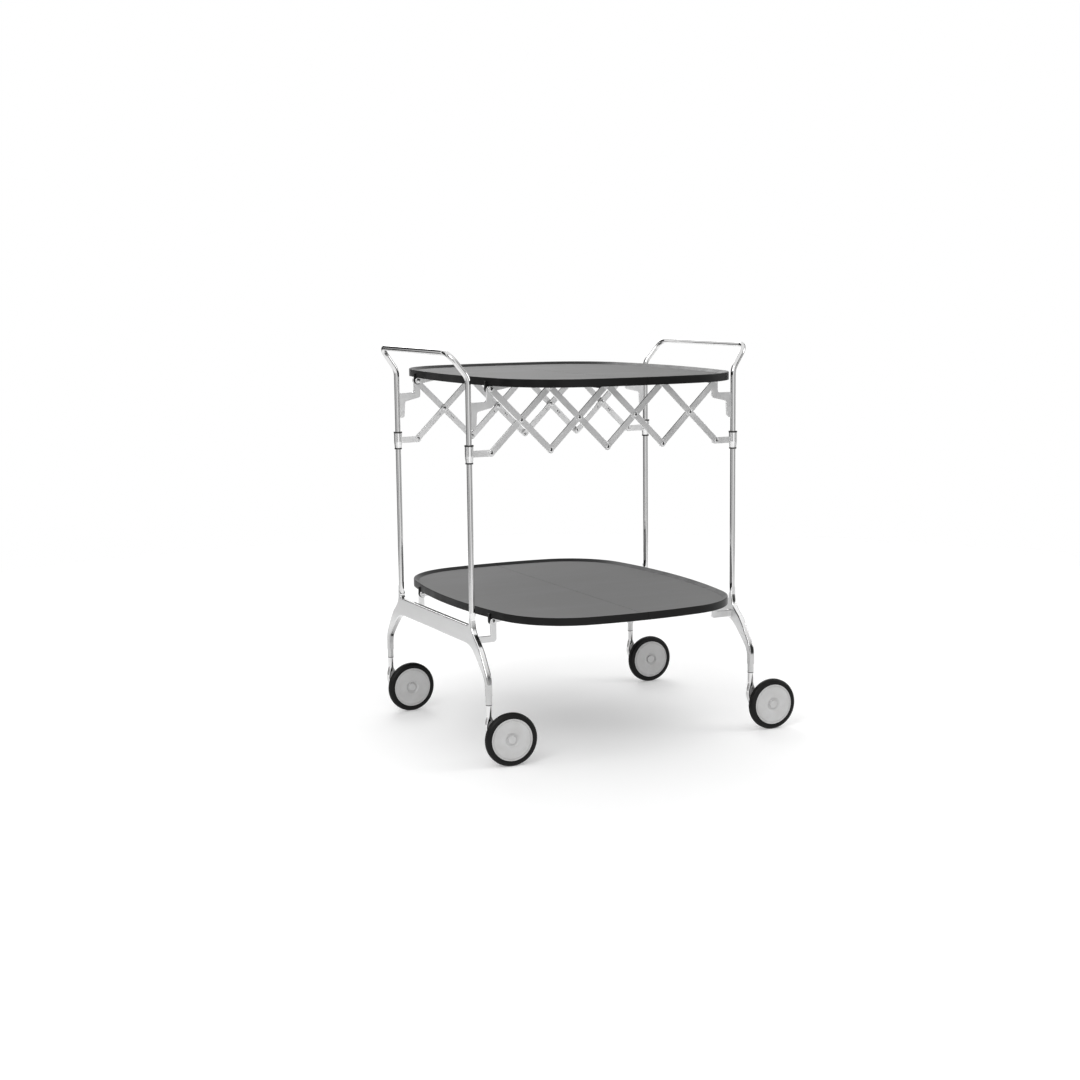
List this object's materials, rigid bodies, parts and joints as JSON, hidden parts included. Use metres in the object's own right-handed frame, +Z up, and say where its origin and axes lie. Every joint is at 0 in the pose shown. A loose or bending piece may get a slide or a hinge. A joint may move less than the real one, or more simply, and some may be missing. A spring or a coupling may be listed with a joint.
{
  "type": "folding bar cart",
  "caption": "Folding serving trolley: chromed side frames with handles, lazy-tongs bars, two rounded black trays split at a crease, and swivel casters.",
  "frame": {"origin": "on the floor under the middle of the whole cart's box", "axes": "+Z up, X from the left side frame to the right one, -Y the front"},
  "size_m": [0.6558, 0.6394, 0.7198],
  "materials": {
    "chromed_steel": "polished chrome on bent steel tube",
    "cast_aluminium": "satin, bead-blasted casting",
    "satin_aluminium": "satin flat bar",
    "polished_rivets": "bright slotted heads",
    "black_plastic": "fine matte grain, satin rim",
    "black_rings": "matte black",
    "dark_bush": "dark grey sleeve",
    "grey_hub": "light grey moulded plastic",
    "tyre_rubber": "black soft rubber"
  },
  "bodies": {
    "frame_left": {"frame_tube_left": "chromed_steel", "side_casting_left": "cast_aluminium", "foot_bushes_left": "dark_bush", "hinge_pins_left": "polished_rivets", "upper_bracket_left_front": "satin_aluminium", "upper_bracket_left_back": "satin_aluminium", "lower_bracket_left_front": "satin_aluminium", "lower_bracket_left_back": "satin_aluminium"},
    "frame_right": {"frame_tube_right": "chromed_steel", "side_casting_right": "cast_aluminium", "foot_bushes_right": "dark_bush", "hinge_pins_right": "polished_rivets", "upper_bracket_right_front": "satin_aluminium", "upper_bracket_right_back": "satin_aluminium", "lower_bracket_right_front": "satin_aluminium", "lower_bracket_right_back": "satin_aluminium"},
    "tray_upper_left": {"tray_upper_left": "black_plastic", "crease_pins_upper": "polished_rivets"},
    "tray_upper_right": {"tray_upper_right": "black_plastic"},
    "tray_lower_left": {"tray_lower_left": "black_plastic", "crease_pins_lower": "polished_rivets"},
    "tray_lower_right": {"tray_lower_right": "black_plastic"},
    "link_a1": {"link_a1": "satin_aluminium", "rivets_a1": "polished_rivets"},
    "link_b1": {"link_b1": "satin_aluminium"},
    "link_a2": {"link_a2": "satin_aluminium", "rivets_a2": "polished_rivets"},
    "link_b2": {"link_b2": "satin_aluminium", "rivets_b2": "polished_rivets"},
    "link_a3": {"link_a3": "satin_aluminium", "rivets_a3": "polished_rivets"},
    "link_b3": {"link_b3": "satin_aluminium", "rivets_b3": "polished_rivets"},
    "link_a4": {"link_a4": "satin_aluminium"},
    "link_b4": {"link_b4": "satin_aluminium", "rivets_b4": "polished_rivets"},
    "collars_left": {"collar_left_front": "chromed_steel", "collar_left_back": "chromed_steel", "collar_rings_left": "black_rings", "collar_pins_left": "polished_rivets"},
    "collars_right": {"collar_right_front": "chromed_steel", "collar_right_back": "chromed_steel", "collar_rings_right": "black_rings", "collar_pins_right": "polished_rivets"},
    "caster_left_front": {"caster_arm_left_front": "chromed_steel", "caster_axle_left_front": "polished_rivets"},
    "wheel_left_front": {"wheel_hub_left_front": "grey_hub", "tyre_left_front": "tyre_rubber"},
    "caster_left_back": {"caster_arm_left_back": "chromed_steel", "caster_axle_left_back": "polished_rivets"},
    "wheel_left_back": {"wheel_hub_left_back": "grey_hub", "tyre_left_back": "tyre_rubber"},
    "caster_right_front": {"caster_arm_right_front": "chromed_steel", "caster_axle_right_front": "polished_rivets"},
    "wheel_right_front": {"wheel_hub_right_front": "grey_hub", "tyre_right_front": "tyre_rubber"},
    "caster_right_back": {"caster_arm_right_back": "chromed_steel", "caster_axle_right_back": "polished_rivets"},
    "wheel_right_back": {"wheel_hub_right_back": "grey_hub", "tyre_right_back": "tyre_rubber"}
  },
  "joints": [
    {"name": "tray_fold", "type": "hinge", "parent": "frame_left", "child": "tray_upper_left", "pos_m": [-0.24929, 0, 0.6503], "axis": [0, -1, 0], "range_deg": [0, 75]},
    {"name": "upper_crease_hinge", "type": "hinge", "parent": "tray_upper_left", "child": "tray_upper_right", "pos_m": [-0.01999, 0, 0.6503], "axis": [0, -1, 0], "range_deg": [-151, 1]},
    {"name": "right_frame_hinge", "type": "hinge", "parent": "tray_upper_right", "child": "frame_right", "pos_m": [0.20931, 0, 0.6503], "axis": [0, -1, 0], "range_deg": [-1, 76]},
    {"name": "lower_left_hinge", "type": "hinge", "parent": "frame_left", "child": "tray_lower_left", "pos_m": [-0.24929, 0, 0.2395], "axis": [0, -1, 0], "range_deg": [-1, 76]},
    {"name": "lower_right_hinge", "type": "hinge", "parent": "frame_right", "child": "tray_lower_right", "pos_m": [0.20931, 0, 0.2395], "axis": [0, -1, 0], "range_deg": [-76, 1]},
    {"name": "link_a1_pivot", "type": "hinge", "parent": "frame_left", "child": "link_a1", "pos_m": [-0.24929, 0, 0.6503], "axis": [0, 1, 0], "range_deg": [-1, 36.1]},
    {"name": "link_b1_pivot", "type": "hinge", "parent": "link_a1", "child": "link_b1", "pos_m": [-0.19197, 0, 0.59455], "axis": [0, 1, 0], "range_deg": [-71.21, 1]},
    {"name": "collars_left_slide_pivot", "type": "hinge", "parent": "link_b1", "child": "collars_left", "pos_m": [-0.24929, 0, 0.5388], "axis": [0, 1, 0], "range_deg": [-1, 36.1]},
    {"name": "link_a2_pivot", "type": "hinge", "parent": "link_b1", "child": "link_a2", "pos_m": [-0.13464, 0, 0.6503], "axis": [0, 1, 0], "range_deg": [-1, 71.21]},
    {"name": "link_b2_pivot", "type": "hinge", "parent": "link_a2", "child": "link_b2", "pos_m": [-0.07732, 0, 0.59455], "axis": [0, 1, 0], "range_deg": [-71.21, 1]},
    {"name": "link_b4_pivot", "type": "hinge", "parent": "frame_right", "child": "link_b4", "pos_m": [0.20931, 0, 0.6503], "axis": [0, 1, 0], "range_deg": [-36.1, 1]},
    {"name": "link_a4_pivot", "type": "hinge", "parent": "link_b4", "child": "link_a4", "pos_m": [0.15198, 0, 0.59455], "axis": [0, 1, 0], "range_deg": [-1, 71.21]},
    {"name": "collars_right_slide_pivot", "type": "hinge", "parent": "link_a4", "child": "collars_right", "pos_m": [0.20931, 0, 0.5388], "axis": [0, 1, 0], "range_deg": [-36.1, 1]},
    {"name": "link_b3_pivot", "type": "hinge", "parent": "link_a4", "child": "link_b3", "pos_m": [0.09466, 0, 0.6503], "axis": [0, 1, 0], "range_deg": [-71.21, 1]},
    {"name": "link_a3_pivot", "type": "hinge", "parent": "link_b3", "child": "link_a3", "pos_m": [0.03733, 0, 0.59455], "axis": [0, 1, 0], "range_deg": [-1, 71.21]},
    {"name": "swivel_left_front", "type": "hinge", "parent": "frame_left", "child": "caster_left_front", "pos_m": [-0.28999, -0.232, 0.06], "axis": [0, 0, 1], "continuous": true},
    {"name": "spin_left_front", "type": "hinge", "parent": "caster_left_front", "child": "wheel_left_front", "pos_m": [-0.25895, -0.2351, 0.0475], "axis": [-0.0993, -0.9951, 0], "continuous": true},
    {"name": "swivel_left_back", "type": "hinge", "parent": "frame_left", "child": "caster_left_back", "pos_m": [-0.28999, 0.232, 0.06], "axis": [0, 0, 1], "continuous": true},
    {"name": "spin_left_back", "type": "hinge", "parent": "caster_left_back", "child": "wheel_left_back", "pos_m": [-0.25881, 0.23303, 0.0475], "axis": [0.0332, -0.9995, 0], "continuous": true},
    {"name": "swivel_right_front", "type": "hinge", "parent": "frame_right", "child": "caster_right_front", "pos_m": [0.25001, -0.232, 0.06], "axis": [0, 0, 1], "continuous": true},
    {"name": "spin_right_front", "type": "hinge", "parent": "caster_right_front", "child": "wheel_right_front", "pos_m": [0.28116, -0.23369, 0.0475], "axis": [-0.0541, -0.9985, 0], "continuous": true},
    {"name": "swivel_right_back", "type": "hinge", "parent": "frame_right", "child": "caster_right_back", "pos_m": [0.25001, 0.232, 0.06], "axis": [0, 0, 1], "continuous": true},
    {"name": "spin_right_back", "type": "hinge", "parent": "caster_right_back", "child": "wheel_right_back", "pos_m": [0.28119, 0.23086, 0.0475], "axis": [-0.0366, -0.9993, 0], "continuous": true}
  ],
  "couplings": [
    {"joint": "upper_crease_hinge", "follows": "tray_fold", "ratio": -2},
    {"joint": "right_frame_hinge", "follows": "tray_fold", "ratio": 1},
    {"joint": "lower_left_hinge", "follows": "tray_fold", "ratio": 1},
    {"joint": "lower_right_hinge", "follows": "tray_fold", "ratio": -1},
    {"joint": "link_a1_pivot", "follows": "tray_fold", "ratio": 0.46807},
    {"joint": "link_b1_pivot", "follows": "tray_fold", "ratio": -0.93614},
    {"joint": "collars_left_slide_pivot", "follows": "tray_fold", "ratio": 0.46807},
    {"joint": "link_a2_pivot", "follows": "tray_fold", "ratio": 0.93614},
    {"joint": "link_b2_pivot", "follows": "tray_fold", "ratio": -0.93614},
    {"joint": "link_b4_pivot", "follows": "tray_fold", "ratio": -0.46807},
    {"joint": "link_a4_pivot", "follows": "tray_fold", "ratio": 0.93614},
    {"joint": "collars_right_slide_pivot", "follows": "tray_fold", "ratio": -0.46807},
    {"joint": "link_b3_pivot", "follows": "tray_fold", "ratio": -0.93614},
    {"joint": "link_a3_pivot", "follows": "tray_fold", "ratio": 0.93614}
  ]
}
